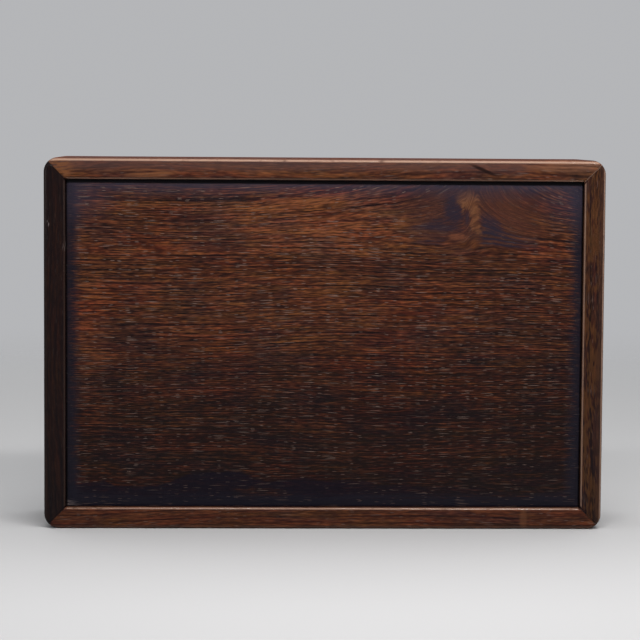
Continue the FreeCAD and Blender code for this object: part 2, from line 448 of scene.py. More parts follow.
# How dark an empty pore is painted, as painted shade in its hollow
PORE_SHADE = 0.4
PORE_AMOUNT = 0.85
DUST_AND_GLINT_AMOUNT = 0.64

# How much each pattern counts in the tone, the roughness and the relief, the last in millimetres
TONE = {"bands": 0.40, "strands": 0.35, "mottle": 0.35, "fibre": 1.20, "grit": 1.55}
LINE_TONE = 0.50
TONE_SHIFT = 0.12
GLOSS = {"strands": 0.25, "mottle": 0.2}
PORE_ROUGHNESS = 0.2
OUTSIDE_ROUGHNESS = 0.2
RUBBED_GLOSS = 0.7
RELIEF = {"fibre": 0.035, "strands": 0.03, "lines": -0.02, "pore": -0.04, "mottle": 0.12}
RUBBED_SMOOTH = 0.85

# Tones from dark to warm, and which hues take each tint
MIDDLE_TONE = 0.45
WARM_TONE = 0.80
BRIGHTEST = 1.6
HONEY_HUES = (0.50, 0.66)
RUSSET_HUES = (0.50, 0.34)
PLUM_HUES = (0.52, 0.36)
PLUM_STREAKS = 0.6
PLUM_AMOUNT = 0.8


class Wood:
    """The grain of one piece of hardwood: growth lines, fibre and pores, drawn along its length."""

    def __init__(self, name, along, seed, look, tilt=35.0, bend=None, waviness=1.0):
        self.finish = Finish(name)
        self.look = look
        self.x, self.y, self.z = self.finish.place()
        length, across = (self.x, self.z) if along == "x" else (self.z, self.x)
        self.length = length + CUT_ALONG * seed
        broad = self.pattern(BROAD_REACH, across, 1.0) - 0.5
        ripple = self.pattern(RIPPLE_REACH, across, 2.0) - 0.5
        if bend is not None:
            self.knot_height = bend(self)
            across = self.knot_height
        tilt_angle = math.radians(tilt)
        ring = across * math.cos(tilt_angle) + self.y * math.sin(tilt_angle)
        self.straight = ring + broad * BROAD_STRAY + CUT_ACROSS * seed
        self.ring = self.straight + ripple * waviness
        self.add_growth()
        fine = self.straight + ripple * (FINE_RIPPLE * waviness)
        self.fibre = self.pattern(FIBRE_REACH, fine, 1.0, 0.6)
        self.grit = self.pattern(GRIT_REACH, fine, 1.0)
        self.strands = self.pattern(STRAND_REACH, fine, 3.0, 0.6)
        self.hue = self.pattern(HUE_REACH, fine, 2.0, 0.6, HUE_SHIFT)
        self.mottle = self.pattern(MOTTLE_REACH, across, 3.0, 0.55)
        short, short_dusty_and_glinting = self.pores(**SHORT_PORES)
        long, long_dusty_and_glinting = self.pores(**LONG_PORES)
        self.pore = self.finish.greater(short, long)
        self.dusty_and_glinting = self.finish.greater(short_dusty_and_glinting, long_dusty_and_glinting)

    def pattern(self, reach, across, detail, roughness=0.5, shift=0.0):
        """Adds noise that is drawn out along the grain."""
        along_reach, across_reach = reach
        depth = self.y / across_reach + shift
        where = self.finish.vector(self.length / along_reach, across / across_reach, depth)
        return self.finish.cloud(where, detail, roughness)

    def weigh(self, weights, middle=0.0):
        """Adds patterns up, each less a middle value and times its weight."""
        return sum((getattr(self, name) - middle) * weight for name, weight in weights.items())

    def add_growth(self):
        """Draws the growth lines: each comes up slowly, is darkest at its far side and comes and goes."""
        finish = self.finish
        spacing = self.look.ring_spacing / MM
        drift = finish.stripes(self.ring / (spacing * DRIFT_REACH), 2.0)
        phase = finish.sum("FRACT", self.ring / spacing + drift * LINE_DRIFT)
        late = finish.rise(phase, *LATE_GROWTH) * finish.rise(phase, *LATE_END)
        strength = self.pattern(STRENGTH_REACH, self.ring, 3.0, 0.6)
        phase = finish.sum("FRACT", self.ring / spacing * CLOSE_LINES + drift * CLOSE_DRIFT)
        close = finish.rise(phase, *CLOSE_GROWTH) * finish.rise(phase, *CLOSE_END)
        close = close * finish.rise(strength, *WEAK)
        self.lines = finish.greater(late * finish.rise(strength, *STRONG), close * CLOSE_STRENGTH)
        self.bands = finish.stripes(self.ring / (spacing * BAND_REACH) + BAND_SHIFT, 3.0, 0.6)

    def pores(self, longer, shift, rare):
        """Scatters open pores, thin dashes along the grain. It gives all of them and the dusty ones, which
        also carry a painted glint.
        """
        finish = self.finish
        cell_length = self.look.pore_length / MM * longer
        cell_width = self.look.pore_width / MM
        along = self.length / cell_length + shift
        across = self.straight / cell_width + shift
        distance, chance, dust = finish.cells(finish.vector(along, across, self.y / (cell_width * 2)))
        pore = finish.rise(distance, *PORE_RIM) * finish.rise(chance, rare, SURE_PORE)
        return pore, pore * finish.rise(dust, *DUSTY_AND_GLINTING)

    def tone(self, level, contrast):
        """Gives how light the wood is, from 0 to 1."""
        grain = self.weigh(TONE, 0.5) - self.lines * LINE_TONE
        return self.finish.limit(grain * contrast + level + TONE_SHIFT)

    def colour(self, level=0.5, contrast=1.0):
        """Gives the bare wood's colour."""
        finish, look = self.finish, self.look
        stops = (
            (0.0, look.dark[:]),
            (MIDDLE_TONE, look.middle[:]),
            (WARM_TONE, look.warm[:]),
            (1.0, [channel * BRIGHTEST for channel in look.warm]),
        )
        wood = finish.ramp(self.tone(level, contrast), stops)
        wood = finish.tint(finish.rise(self.hue, *HONEY_HUES), wood, look.honey[:])
        wood = finish.tint(finish.rise(self.hue, *RUSSET_HUES), wood, look.russet[:])
        plum = finish.rise(self.mottle + (self.strands - 0.5) * PLUM_STREAKS, *PLUM_HUES)
        return finish.tint(plum * PLUM_AMOUNT, wood, look.plum[:])

    def with_pores(self, colour, amount=1.0):
        """Lays the pores over a colour: empty ones dark with painted shade in their hollows, dusty ones pale
        with dust and a painted glint.
        """
        hollow = [channel * PORE_SHADE for channel in self.look.dark]
        empty = self.finish.blend(self.pore * (PORE_AMOUNT * amount), colour, hollow)
        return self.finish.blend(self.dusty_and_glinting * (DUST_AND_GLINT_AMOUNT * amount), empty, self.look.pore_dust_and_glint[:])

    def relief(self, rubbed):
        """Gives the height of the surface, in millimetres. What is rubbed is smooth."""
        return self.weigh(RELIEF) * (1.0 - rubbed * RUBBED_SMOOTH)

    def gloss(self):
        """Gives the roughness of the surface, which is rougher behind the base panel's face."""
        outside = self.finish.rise(self.y, PANEL_FACE_Y, PANEL_FACE_Y + 3.0) * OUTSIDE_ROUGHNESS
        return self.look.roughness + self.weigh(GLOSS, 0.5) + self.pore * PORE_ROUGHNESS + outside

    def done(self, colour, rubbed=0.0, dull=0.0):
        """Finishes the material, more polished where it is rubbed and matt where it is dull."""
        roughness = self.gloss() * (1.0 - rubbed * RUBBED_GLOSS) + dull
        return self.finish.surface(colour, roughness, self.look.shine, self.relief(rubbed))


# The knot on the base panel, in millimetres from the box's middle and up from the side it stands on
KNOT_X = 70.0
KNOT_CENTRE = (72.0, 152.0)
KNOT_FOOT_LEFT = 134.5
KNOT_FOOT_RIGHT = 130.5
KNOT_FOOT_BLEND = 16
KNOT_ONSET = 6.0
LEFT_FAN = 2.2
LEFT_FAN_REACH = 33.0
RIGHT_FAN = 40.0
RIGHT_FAN_REACH = 60.0
RIGHT_FAN_EASE = 3.0

# Where the knot's colours reach, each place with its centre, reach, turn in degrees and amount
KNOT_REACH = (44.0, 24.0)
KNOT_BASE = (137.0, 143.0)
KNOT_CALM = ((101.0, 158.0), (32.0, 20.0))
ARC_SPACING = 0.95
ARC_HEIGHTS = ((134.4, 135.2), (139.4, 137.6))
ARC_ENDS = ((73.5, 77.0), (112.0, 88.0))
SHADED_PLACES = (
    ((80.5, 148.0), (9.5, 5.0), -42, 0.85),
    ((61.6, 154.0), (6.2, 9.5), 12, 1.00),
    ((50.0, 147.0), (16.0, 2.6), 12, 0.60),
    ((56.0, 145.4), (13.0, 2.2), 0, 0.70),
    ((51.0, 138.9), (10.0, 0.9), 2, 0.70),
    ((68.4, 150.6), (1.8, 4.4), 0, 0.75),
)
PALE_PLACES = (
    ((68.6, 160.0), (7.2, 6.0), -12, 0.72),
    ((65.8, 155.6), (1.3, 4.0), 0, 0.60),
    ((72.2, 154.0), (3.2, 8.0), 8, 0.66),
    ((72.8, 146.6), (2.3, 5.4), 32, 0.58),
)
KNOT_EYE = ((64.0, 141.7), (5.8, 2.4))

# The knot's colours
FLESH_COOL = (0.062, 0.0235, 0.0195)
FLESH_WARM = (0.082, 0.0315, 0.0190)
THREAD_COLOUR = (0.015, 0.0085, 0.0100)
SHADE_COLOUR = (0.0165, 0.0130, 0.0225)
STREAK_DARK = (0.092, 0.0350, 0.0165)
STREAK_PALE = (0.165, 0.070, 0.031)
EYE_COLOUR = (0.135, 0.047, 0.024)


def knot_bend(wood):
    """Fans the growth lines out as they rise to the knot at the panel's upper edge."""
    finish = wood.finish
    wobble = finish.cloud(finish.vector(wood.x / 13, wood.z / 13, 5.0), 2.0) - 0.5
    x, z = wood.x + wobble * 4, wood.z + wobble * 2
    left = finish.sum("EXPONENT", finish.lesser(x - KNOT_X, 0.0) * (1 / LEFT_FAN_REACH)) * LEFT_FAN
    beyond = finish.greater(x - KNOT_X, 0.0)
    right = finish.sum("EXPONENT", beyond * (-1 / RIGHT_FAN_REACH)) * RIGHT_FAN / (beyond + RIGHT_FAN_EASE)
    left_side = finish.rise(x, KNOT_X + KNOT_FOOT_BLEND, KNOT_X - KNOT_FOOT_BLEND)
    foot = left_side * (KNOT_FOOT_LEFT - KNOT_FOOT_RIGHT) + KNOT_FOOT_RIGHT
    above = finish.greater(z - foot, 0.0)
    above = above * above / (above + KNOT_ONSET)
    right_side = finish.rise(x, KNOT_X - 3, KNOT_X + 5)
    spread = left + right_side * (right - left) + 1.0
    return wood.z - above + above / spread


def add_knot(wood, colour):
    """Colours the knot: fine dark growth on both sides of a pale streak, over a small bright eye."""
    finish = wood.finish
    height = wood.knot_height
    ragged = (wood.fibre - 0.5) * 4 + (wood.mottle - 0.5) * 5
    x, z = wood.x + ragged * 0.5 + (wood.grit - 0.5) * 3.0, wood.z + ragged
    near = finish.patch(wood.x, wood.z, KNOT_CENTRE, KNOT_REACH) * finish.rise(wood.z, *KNOT_BASE)
    threads = finish.stripes(height / 0.28, 4.0, 0.8)
    specks = finish.cloud(finish.vector(wood.x / 2.0, wood.z / 0.5, 0.0), 1.0)
    fine = finish.rise(threads + (specks - 0.5) * 0.5, 0.60, 0.42)
    flesh = finish.blend(finish.rise(wood.mottle, 0.4, 0.6), FLESH_COOL, FLESH_WARM)
    colour = finish.blend(near * 0.55, colour, flesh)
    calm = finish.patch(wood.x, wood.z, *KNOT_CALM) * 0.30
    colour = finish.blend(fine * near * (0.66 - calm), colour, THREAD_COLOUR)
    colour = add_arcs(wood, x, fine, colour)
    for centre, reach, turn, amount in SHADED_PLACES:
        shaded = finish.patch(x, z, centre, reach, turn) * amount * (fine * 0.25 + 0.72)
        colour = finish.blend(shaded, colour, SHADE_COLOUR)
    streaky = finish.rise(threads + (wood.grit - 0.5) * 1.2, 0.34, 0.62)
    pale = finish.blend(streaky, STREAK_DARK, STREAK_PALE)
    soft = finish.cloud(finish.vector(wood.x / 4.5, wood.z / 3.5, 15.0), 2.0) - 0.5
    soft_x, soft_z = wood.x + soft * 6, wood.z + soft * 5
    for centre, reach, turn, amount in PALE_PLACES:
        colour = finish.blend(finish.patch(soft_x, soft_z, centre, reach, turn) * amount, colour, pale)
    eye = finish.patch(soft_x, wood.z + ragged * 0.4, *KNOT_EYE)
    return finish.blend(eye * (0.95 - fine * 0.45), colour, EYE_COLOUR)


def add_arcs(wood, x, fine, colour):
    """Draws the dark arcs of growth that sweep under the knot to its right."""
    finish = wood.finish
    height = wood.knot_height
    ringing = finish.rise(abs(finish.sum("FRACT", height / ARC_SPACING) - 0.5), 0.34, 0.10)
    low, high = ARC_HEIGHTS
    start, end = ARC_ENDS
    arc = finish.rise(height, *low) * finish.rise(height, *high)
    arc = arc * finish.rise(x, *start) * finish.rise(x, *end)
    return finish.blend(arc * finish.greater(ringing, fine * 0.5) * 0.92, colour, SHADE_COLOUR)


# The base panel's tone: each lighter place has its centre, reach, raggedness and how much lighter it is
PANEL_LEVEL = 0.45
LIGHTER_PLACES = (
    ((0.0, 152.0), (78.0, 24.0), 26, 0.24),
    ((-112.0, 92.0), (12.0, 52.0), 26, 0.18),
    ((-10.0, 100.0), (125.0, 30.0), 30, 0.08),
)
# Darker towards the bottom, partly the wood's own darkening and partly painted shade of light falling off
# downwards: the height where it begins and where it is full, and how much darker
DARKENING_AND_PAINTED_SHADE_HEIGHTS = (130.0, 20.0)
DARKENING_AND_PAINTED_SHADE = 0.46
FAR_END = (-80.0, 100.0)
FAR_END_GLOOM = 0.07
KNOT_FADE_REACH = (50.0, 26.0)
KNOT_FADE = 0.45
RED_TINT = (1.12, 0.92, 0.88)

# The ink stain: each swell of its shore has its middle, reach and height
STAIN_TOP = 20.5
STAIN_SWELLS = ((-110.0, 10.0, 3.0), (-52.0, 29.0, 7.0), (-5.0, 34.0, 3.5))
STAIN_ENDS = (110.0, -10.0)
STAIN_ISLAND = ((-30.0, 16.5), (17.0, 4.5))
STAIN_AMOUNT = 0.84

# The panel's rim, measured inwards from the boards, with its grime and painted shade, painted reflection and
# painted shadow
# The rim's dark band, partly grime and partly painted shade
RIM_GRIME_AND_SHADE_REACH = (8.6, 1.6)
RIM_GRIME_AND_SHADE_AMOUNT = 0.88
# Painted reflection, a bluish haze, on the upper corners and under the upper board
REFLECTION_CORNER = ((128.0, 172.0), (38.0, 34.0))
REFLECTION_BAND = (12.0, 1.0)
REFLECTION_AMOUNT = 0.56
DUST_CORNER = ((WALL - HALF_LENGTH, WALL), (9.0, 4.5))
DUST_COLOUR = (0.17, 0.135, 0.135)
# Black of the painted shadow under the upper board and beside the end boards
PAINTED_SHADOW_COLOUR = (0.001, 0.001, 0.001)
PORELESS_KNOT = ((77.0, 152.0), (58.0, 34.0))


def base_panel_material(look):
    """The figured face of the base board, with its knot, warm heartwood, ink stain, a lower part darkened
    partly with painted shade, and a rim darkened with grime, painted shade and a painted shadow, with a
    painted reflection near its upper corners.
    """
    wood = Wood("base_panel_wood", "x", BASE_PANEL_WOOD, look, tilt=12.0, bend=knot_bend)
    finish = wood.finish
    x, z = wood.x, wood.z
    ragged = finish.cloud(finish.vector(x / 26, z / 9, 3.0), 3.0, 0.6) - 0.5
    level = PANEL_LEVEL
    for centre, reach, raggedness, lighter in LIGHTER_PLACES:
        level = level + finish.patch(x, z + ragged * raggedness, centre, reach) * lighter
    # Painted shade, with some darkening of the wood: the panel gets darker towards the bottom
    darkening_and_painted_shade = finish.rise(z + ragged * 30, *DARKENING_AND_PAINTED_SHADE_HEIGHTS)
    level = level - darkening_and_painted_shade * DARKENING_AND_PAINTED_SHADE - finish.rise(x, *FAR_END) * FAR_END_GLOOM
    contrast = 1.0 - finish.patch(x, z, KNOT_CENTRE, KNOT_FADE_REACH) * KNOT_FADE
    red = finish.cloud(finish.vector(x / 60, z / 30, 9.0), 2.0)
    colour = finish.tint(finish.rise(red, 0.48, 0.66), wood.colour(level, contrast), RED_TINT)
    colour = add_knot(wood, colour)
    soaked = ink_stain(wood, ragged)
    colour = finish.blend(soaked * STAIN_AMOUNT, colour, look.ink[:])
    colour = add_rim(wood, ragged, colour, look)
    hidden = hidden_pores(wood, darkening_and_painted_shade, soaked)
    return wood.done(wood.with_pores(colour, 1.0 - hidden))


def ink_stain(wood, ragged):
    """Gives how far the wood is soaked with ink: all of it below a ragged shore, apart from an island."""
    finish = wood.finish
    x, z = wood.x, wood.z
    shore = STAIN_TOP + ragged * 7.0 + (wood.fibre - 0.5) * 4.0
    for middle, reach, height in STAIN_SWELLS:
        shore = shore + finish.rise(abs(x - middle), reach, reach * 0.35) * height
    soaked = finish.rise(z - shore, 0.9, -0.9) * finish.rise(x, *STAIN_ENDS)
    return soaked * (1.0 - finish.patch(x, z + ragged * 6, *STAIN_ISLAND) * 0.6)


def hidden_pores(wood, darkening_and_painted_shade, soaked):
    """Gives where the base panel's pores don't show: in the knot, in the lower part darkened with painted
    shade, in the stain and at the rim with its painted shadow.
    """
    finish = wood.finish
    clear = finish.patch(wood.x, wood.z, *PORELESS_KNOT)
    # No pores show in the painted shadow under the upper board
    in_painted_shadow = finish.rise(wood.z, BOX_WIDTH - WALL - 3.5, BOX_WIDTH - WALL - 2.0)
    at_side = finish.rise(abs(wood.x), HALF_LENGTH - WALL - 6.5, HALF_LENGTH - WALL - 3.5)
    inside = finish.greater(clear * 0.9, darkening_and_painted_shade * 0.4)
    hidden = finish.greater(inside, finish.greater(in_painted_shadow, at_side * 0.85))
    return finish.greater(hidden, soaked * 0.6)


def add_rim(wood, ragged, colour, look):
    """Darkens the panel's rim with grime and painted shade, paints a bluish reflection on its upper corners
    and under the upper board, and paints a black shadow under the upper board and beside the end boards.
    """
    finish = wood.finish
    x, z = wood.x, wood.z
    beside = HALF_LENGTH - WALL - abs(x)
    below = BOX_WIDTH - WALL - z
    upper = finish.lesser(below + 2.5, z - WALL)
    corner = finish.sum("EXPONENT", (beside + upper) * -0.08)
    edge = finish.lesser(beside, upper) - corner * 4.0
    front = finish.rise(wood.y, PANEL_FACE_Y + 4.0, PANEL_FACE_Y + 2.5)
    # The rim's dark bluish band, partly grime and partly painted shade
    grime_and_painted_shade = finish.rise(edge + ragged * 5.0 + (wood.fibre - 0.5) * 6.0, *RIM_GRIME_AND_SHADE_REACH)
    colour = finish.blend(grime_and_painted_shade * front * RIM_GRIME_AND_SHADE_AMOUNT, colour, look.grime_and_painted_shade[:])
    # Painted reflection: a bluish haze on the upper corners and under the upper board
    painted_reflection_corner = finish.patch(abs(x), z + ragged * 8, *REFLECTION_CORNER)
    painted_reflection = finish.greater(painted_reflection_corner, finish.rise(below + ragged * 7, *REFLECTION_BAND))
    colour = finish.blend(painted_reflection * front * REFLECTION_AMOUNT, colour, look.painted_reflection[:])
    dust = finish.patch(x, z, *DUST_CORNER) * finish.rise(wood.grit, 0.40, 0.60)
    colour = finish.blend(dust * front * 0.75, colour, DUST_COLOUR)
    # Painted shadow: black under the upper board and beside the end boards
    painted_shadow = finish.greater(finish.rise(below, 2.2, 1.4), finish.rise(beside, 1.0, 0.5))
    return finish.blend(painted_shadow * front * 0.85, colour, PAINTED_SHADOW_COLOUR)


# The boards: tone and its fall towards the floor, the place of the worn line that also holds a painted
# highlight, and how far each is rubbed, with its painted highlight
BOARD_CONTRAST = 0.6
BOARD_LEVELS = {"front": 0.51, "back": 0.45, "left": 0.36, "right": 0.31}
BOARD_FALL = {"front": 0.0, "back": 0.0, "left": 0.0, "right": 0.24}
# Where the pale line along the outer arris lies: worn wood and painted highlight together
WORN_AND_HIGHLIGHT_LINE = {"front": 1.15, "back": 1.0, "left": 1.0, "right": 0.5}
OUTER_DULLNESS = {"front": 0.35, "back": 0.0, "left": 0.1, "right": 0.1}
# How pale the outer and inner arrises are painted: wear, and painted highlight where the light catches them
OUTER_WEAR_AND_HIGHLIGHT = {"front": 1.0, "back": 0.15, "left": 0.03, "right": 0.75}
INNER_WEAR_AND_HIGHLIGHT = {"front": 0.32, "back": 0.85, "left": 0.05, "right": 0.50}
BOARD_PORES = {"front": 0.35, "back": 0.5, "left": 0.45, "right": 0.30}
# Painted shade on the outer faces: darker and redder
OUTER_PAINTED_SHADE = (1.0, 0.72, 0.62)
OUTER_PAINTED_SHADE_AMOUNT = 0.9
MITRE_LINE = (0.42, 0.16)
MITRE_DARKNESS = 0.65
BRIGHT_MITRE = 0.35

# Marks on the body's boards, each place with its centre, its reach and for the scar its turn in degrees
# Painted sheen: light reflected on the front board just below its outer arris, near the right end
PAINTED_SHEEN_PLACE = ((116.0, 176.0), (24.0, 4.0))
PAINTED_SHEEN_COLOUR = (0.21, 0.100, 0.062)
DULL_COLOUR = (0.085, 0.048, 0.043)
WARM_PLACE = ((-83.6, 171.4), (17.0, 2.8))
WARM_COLOUR = (0.19, 0.075, 0.032)
ORANGE_PLACE = ((-128.0, 174.0), (9.0, 8.0))
ORANGE_COLOUR = (0.17, 0.066, 0.026)
SCAR_PLACE = ((75.9, 173.9), (10.0, 1.3), -23.5)
BAND_PLACE = ((97.1, 5.0), (2.6, 7.0))
BAND_COLOUR = (0.14, 0.055, 0.024)
LEFT_SHADE = (0.0038, 0.0022, 0.0030)
SPECK_PLACES = (((-132.0, 150.5), (3.0, 7.0)), ((-125.0, 139.0), (2.0, 7.0)))
SPECK_COLOUR = (0.20, 0.17, 0.17)
GOLDEN_COLOUR = (0.070, 0.0300, 0.0105)
RIGHT_DULL_COLOUR = (0.035, 0.017, 0.013)


def board_marks(wood, side, colour):
    """Adds what has happened to one board of the body: patches, a scar and rubbed specks, and on the front
    board a painted sheen.
    """
    finish = wood.finish
    x, z = wood.x, wood.z
    ragged = (wood.strands - 0.5) * 4
    near_base = finish.rise(wood.y + ragged, BASE_Y + 20.0, BASE_Y + 3.0)
    if side == "front":
        # Painted sheen of reflected light near the right end, just below the outer arris
        painted_sheen = finish.patch(x, z, *PAINTED_SHEEN_PLACE) * finish.rise(wood.fibre, 0.10, 0.70)
        colour = finish.blend(painted_sheen * near_base * 0.60, colour, PAINTED_SHEEN_COLOUR)
        dull = finish.rise(z + ragged, BOX_WIDTH - 7.5, BOX_WIDTH - 3.5) * finish.rise(x, 104.0, 92.0)
        dull = dull * finish.rise(wood.y, BASE_Y + 5.0, BASE_Y + 2.0)
        colour = finish.blend(dull * 0.5, colour, DULL_COLOUR)
        warm = finish.patch(x + ragged * 3, z + ragged, *WARM_PLACE) * finish.rise(wood.fibre, 0.3, 0.6)
        colour = finish.blend(warm * 0.75, colour, WARM_COLOUR)
        end = finish.patch(x, z + ragged, *ORANGE_PLACE) * finish.rise(wood.grit, 0.3, 0.6)
        colour = finish.blend(end * 0.75, colour, ORANGE_COLOUR)
        scar = finish.patch(x, z + ragged * 0.15, *SCAR_PLACE)
        colour = finish.blend(scar * 0.92, colour, wood.look.dark[:])
    if side == "back":
        colour = finish.blend(finish.patch(x, z, *BAND_PLACE) * 0.5, colour, BAND_COLOUR)
    if side == "left":
        colour = finish.blend(near_base * 0.86, colour, LEFT_SHADE)
        specks = finish.rise(wood.grit, 0.60, 0.68)
        for place in SPECK_PLACES:
            colour = finish.blend(finish.patch(x, z, *place) * specks * 0.5, colour, SPECK_COLOUR)
    if side == "right":
        golden = finish.rise(wood.mottle + (wood.grit - 0.5) * 0.7, 0.44, 0.56)
        colour = finish.blend(golden * near_base * 0.55, colour, GOLDEN_COLOUR)
        dull = finish.rise(x + ragged, HALF_LENGTH - 4.5, HALF_LENGTH - 2.0)
        colour = finish.blend(dull * near_base * 0.5, colour, RIGHT_DULL_COLOUR)
    return colour


def board_material(name, side, body, look, seed):
    """One board of a frame, paler along its arrises where it is worn and where a highlight is painted, with
    painted shade on its outer faces and dark lines at its mitres.
    """
    wood = Wood(name, GRAIN_ALONG[side], seed, look, tilt=55.0, waviness=0.7)
    finish = wood.finish
    level = BOARD_LEVELS[side] - (1.0 - wood.z / BOX_WIDTH) * BOARD_FALL[side]
    colour = wood.with_pores(wood.colour(level, BOARD_CONTRAST), BOARD_PORES[side])
    if body == "body":
        colour = board_marks(wood, side, colour)
    from_end = HALF_LENGTH - abs(wood.x)
    from_side = BOX_WIDTH / 2 - abs(wood.z - BOX_WIDTH / 2)
    seam = abs(from_end - from_side)
    edge = finish.lesser(from_end, from_side)
    highlight_line_place = WORN_AND_HIGHLIGHT_LINE[side]
    outer_face = finish.rise(edge, highlight_line_place - 0.1, highlight_line_place - 0.6)
    # Painted shade: the outer faces are painted darker and redder
    colour = finish.tint(outer_face * OUTER_PAINTED_SHADE_AMOUNT, colour, OUTER_PAINTED_SHADE)
    inner_line = finish.rise(WALL - edge, 1.1, 0.6)
    crisp = finish.greater(inner_line, finish.rise(abs(edge - highlight_line_place), 0.8, 0.25))
    wear = finish.limit(finish.attribute("wear") * 1.1) * finish.rise(seam, 0.9, 1.6)
    polished = wear * crisp
    patchy = finish.cloud(finish.vector(wood.x / 6, wood.y / 6, wood.z / 6), 3.0, 0.6)
    inner = finish.rise(edge, WALL / 2 - 1.0, WALL / 2 + 1.0)
    # Pale lines along the arrises: partly wear, partly painted highlight, stronger on the arrises that face
    # the light
    wear_and_highlight = inner * (INNER_WEAR_AND_HIGHLIGHT[side] - OUTER_WEAR_AND_HIGHLIGHT[side]) + OUTER_WEAR_AND_HIGHLIGHT[side]
    rubbed = polished * finish.rise(patchy, 0.12, 0.46)
    colour = finish.blend(rubbed * wear_and_highlight, colour, look.pale[:])
    line = finish.rise(seam, *MITRE_LINE)
    bright = finish.rise(wood.x, 110.0, 112.0) * finish.rise(wood.z, 150.0, 152.0)
    colour = finish.blend(line * (MITRE_DARKNESS - bright * MITRE_DARKNESS), colour, look.dark[:])
    colour = finish.blend(line * bright * BRIGHT_MITRE, colour, look.pale[:])
    return wood.done(colour, polished, outer_face * OUTER_DULLNESS[side])


def plain_material(name, along, look, seed, level):
    """Wood inside the box, which nobody polished."""
    wood = Wood(name, along, seed, look, tilt=40.0)
    return wood.done(wood.with_pores(wood.colour(level)))


# How a CAD mesh is merged and cut
MERGE_DISTANCE = 0.002 * MM
FLAT_ANGLE = math.radians(0.4)
CUT_TOLERANCE = 0.001 * MM
SHARP_ANGLE = math.radians(32)

# Where wear falls, and the size of its patches in metres
RUB_PATCH = 11 * MM
DIP_PATCH = 24 * MM
ROUNDED = 0.05
LEANING = 0.4
UNLEANED_WEAR = 0.25
DENTED_FLATNESS = 0.87
DENT_DEPTHS = (0.4, 1.0)
DENT_WIDTHS = (0.6, 1.2)


def divided_copy(node, facet):
    """Copies a CAD node's mesh, merges it and cuts it into small even facets, ready to be worn."""
    bm = bmesh.new()
    bm.from_mesh(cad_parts[node].data)
    bmesh.ops.remove_doubles(bm, verts=bm.verts, dist=MERGE_DISTANCE)
    bmesh.ops.dissolve_limit(
        bm, angle_limit=FLAT_ANGLE, use_dissolve_boundaries=False, verts=bm.verts, edges=bm.edges
    )
    low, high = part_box(node)
    for axis in (2, 1, 0):
        normal = Vector([1.0 if axis == other else 0.0 for other in range(3)])
        count = max(1, round((high[axis] - low[axis]) / facet))
        for index in range(1, count):
            point = low.copy()
            point[axis] = low[axis] + (high[axis] - low[axis]) * index / count
            geometry = bm.verts[:] + bm.edges[:] + bm.faces[:]
            bmesh.ops.bisect_plane(bm, geom=geometry, dist=CUT_TOLERANCE, plane_co=point, plane_no=normal)
    bmesh.ops.triangulate(bm, faces=[face for face in bm.faces if len(face.verts) > 4])
    return bm


def wear_down(bm, sizes, seed, dents=0):
    """Rubs the arrises, dips the faces a little and knocks dents in. It keeps the wear on the mesh."""
    bm.normal_update()
    layer = bm.verts.layers.float.new("wear")
    offset = Vector((seed * 3.1, seed * 1.7, seed * 2.3))
    on_arris = []
    moves = {}
    for vertex in bm.verts:
        normal = vertex.normal
        flatness = max(abs(normal.y), math.hypot(normal.x, normal.z))
        leaning = min(1.0, max(0.0, (abs(normal.y) - LEANING) / LEANING))
        wear = min(1.0, (1.0 - flatness) / ROUNDED) * (UNLEANED_WEAR + (1.0 - UNLEANED_WEAR) * leaning)
        vertex[layer] = wear
        rub = 0.5 + 0.5 * noise.noise(vertex.co / RUB_PATCH + offset)
        dip = 0.5 + 0.5 * noise.noise(vertex.co / DIP_PATCH - offset)
        moves[vertex] = wear * sizes.arris_wear * rub + sizes.unevenness * dip
        if flatness < DENTED_FLATNESS:
            on_arris.append(vertex)
    knocks = random.Random(seed)
    for _ in range(dents if on_arris else 0):
        centre = knocks.choice(on_arris).co.copy()
        depth = sizes.dent_depth * knocks.uniform(*DENT_DEPTHS)
        width = sizes.dent_width * knocks.uniform(*DENT_WIDTHS)
        for vertex in bm.verts:
            far = (vertex.co - centre).length / width
            if far < 1.0:
                moves[vertex] += depth * (1.0 - far * far) ** 2
    for vertex, move in moves.items():
        vertex.co -= vertex.normal * move


def show(bm, name, node, body, material):
    """Makes the finished mesh an object that stands for its CAD node."""
    mesh = bpy.data.meshes.new(name)
    bm.to_mesh(mesh)
    bm.free()
    mesh.materials.append(material)
    mesh.polygons.foreach_set("use_smooth", [True] * len(mesh.polygons))
    mesh.set_sharp_from_angle(angle=SHARP_ANGLE)
    piece = bpy.data.objects.new(name, mesh)
    bpy.context.scene.collection.objects.link(piece)
    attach(piece, body)
    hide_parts(node)


# Numbers that choose each piece's wear, and where in the tree its wood was cut
FIRST_BOARD = {"body": 1, "lid": 11}
BASE_PANEL_WEAR = 21
BASE_PANEL_WOOD = 2
LID_PANEL_WEAR = 22
LID_PANEL_WOOD = 6
FIRST_FITTING = 31
SPLINE_WOOD = 41

# How light the wood inside is
LID_PANEL_LEVEL = 0.52
FITTING_LEVEL = 0.55
SPLINE_LEVEL = 0.75

# Each fitting, the body it belongs to and the way its grain runs
FITTINGS = (
    ("long_partition", "body", "x"),
    ("water_pot_partition", "body", "z"),
    ("ink_stick_partition", "body", "z"),
    ("lid_batten_left", "lid", "z"),
    ("lid_batten_right", "lid", "z"),
)


class INKBOX_OT_boards(bpy.types.Operator):
    """Wears and finishes the eight mitred boards of the body and the lid"""

    bl_idname = "inkbox.boards"
    bl_label = "Boards"

    def execute(self, context):
        sizes = context.scene.inkbox_boards
        look = context.scene.inkbox_frame_wood
        facet = sizes.facet
        for body, first in FIRST_BOARD.items():
            for seed, side in enumerate(SIDES, first):
                node = f"{body}_{side}_board"
                bm = divided_copy(node, facet)
                wear_down(bm, sizes, seed, sizes.dents)
                material = board_material(f"{node}_wood", side, body, look, seed)
                show(bm, f"worn_{node}", node, body, material)
        return {"FINISHED"}


